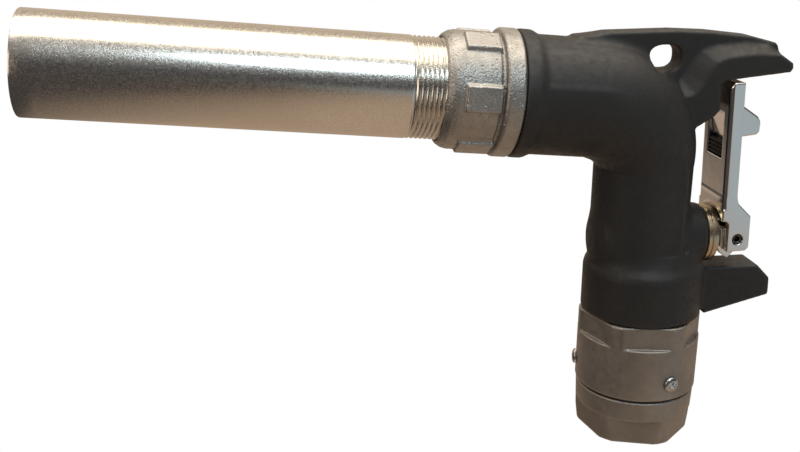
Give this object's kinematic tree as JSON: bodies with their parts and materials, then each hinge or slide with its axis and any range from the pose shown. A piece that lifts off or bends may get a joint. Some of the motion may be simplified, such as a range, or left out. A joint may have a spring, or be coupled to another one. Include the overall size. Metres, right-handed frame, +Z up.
{
  "type": "fuel nozzle",
  "caption": "Bulk fuel nozzle: straight pipe spout screwed into a cast elbow body with a guarded cam lever on the back and a ball-bearing swivel inlet.",
  "frame": {"origin": "centre of the inlet's mouth, on the swivel's axis and level with the inlet's end face", "axes": "+Z up the handle from the hose, -X the side the spout points to, Y across the nozzle, which is symmetric about Y = 0 but for its screws"},
  "size_m": [0.3641, 0.0636, 0.2237],
  "materials": {
    "galvanised_pipe": "bright galvanised",
    "plated_casting": "plated, sand-cast texture",
    "black_casting": "matt black coating",
    "bare_casting": "bare cast",
    "chrome": "polished",
    "brass": "turned",
    "steel": "turned",
    "packing": "matt",
    "seal_rubber": "matt"
  },
  "bodies": {
    "inlet": {"inlet_adapter": "bare_casting", "swivel_seal": "seal_rubber", "dust_seal": "seal_rubber"},
    "balls": {"bearing_balls": "steel"},
    "nozzle": {"swivel_body": "bare_casting", "body_gasket": "packing", "plug_screw_1": "steel", "plug_screw_2": "steel", "plug_screw_3": "steel", "nozzle_body": "black_casting", "spout_collar": "plated_casting", "collar_o_ring": "seal_rubber", "spout_tube": "galvanised_pipe", "seat_ring": "brass", "gland_nut": "brass", "gland_packing": "packing", "gland_follower": "brass", "thrust_washer": "steel"},
    "stem": {"valve_stem": "steel", "poppet": "brass", "poppet_seal": "seal_rubber", "poppet_nut": "steel", "valve_spring": "steel"},
    "lever": {"lever": "chrome", "lever_pad": "seal_rubber", "pivot_pin": "steel"}
  },
  "joints": [
    {"name": "inlet_swivel", "type": "hinge", "parent": "inlet", "child": "nozzle", "pos_m": [0, 0, 0.0355], "axis": [0, 0, 1], "continuous": true},
    {"name": "ball_orbit", "type": "hinge", "parent": "inlet", "child": "balls", "pos_m": [0, 0, 0.0355], "axis": [0, 0, 1], "continuous": true},
    {"name": "stem_slide", "type": "slide", "parent": "nozzle", "child": "stem", "axis": [1, 0, 0], "range_m": [0, 0.00352], "deforming": ["valve_spring"]},
    {"name": "lever_swing", "type": "hinge", "parent": "stem", "child": "lever", "pos_m": [0.043, 0, 0.1055], "axis": [0, 1, 0], "range_deg": [0, 70], "stiffness_Nm_per_rad": 0.12, "springref_deg": -34.38}
  ],
  "couplings": [
    {"joint": "ball_orbit", "follows": "inlet_swivel", "ratio": 0.5},
    {"joint": "stem_slide", "follows": "lever_swing", "m_per_rad": 0.0028647}
  ]
}
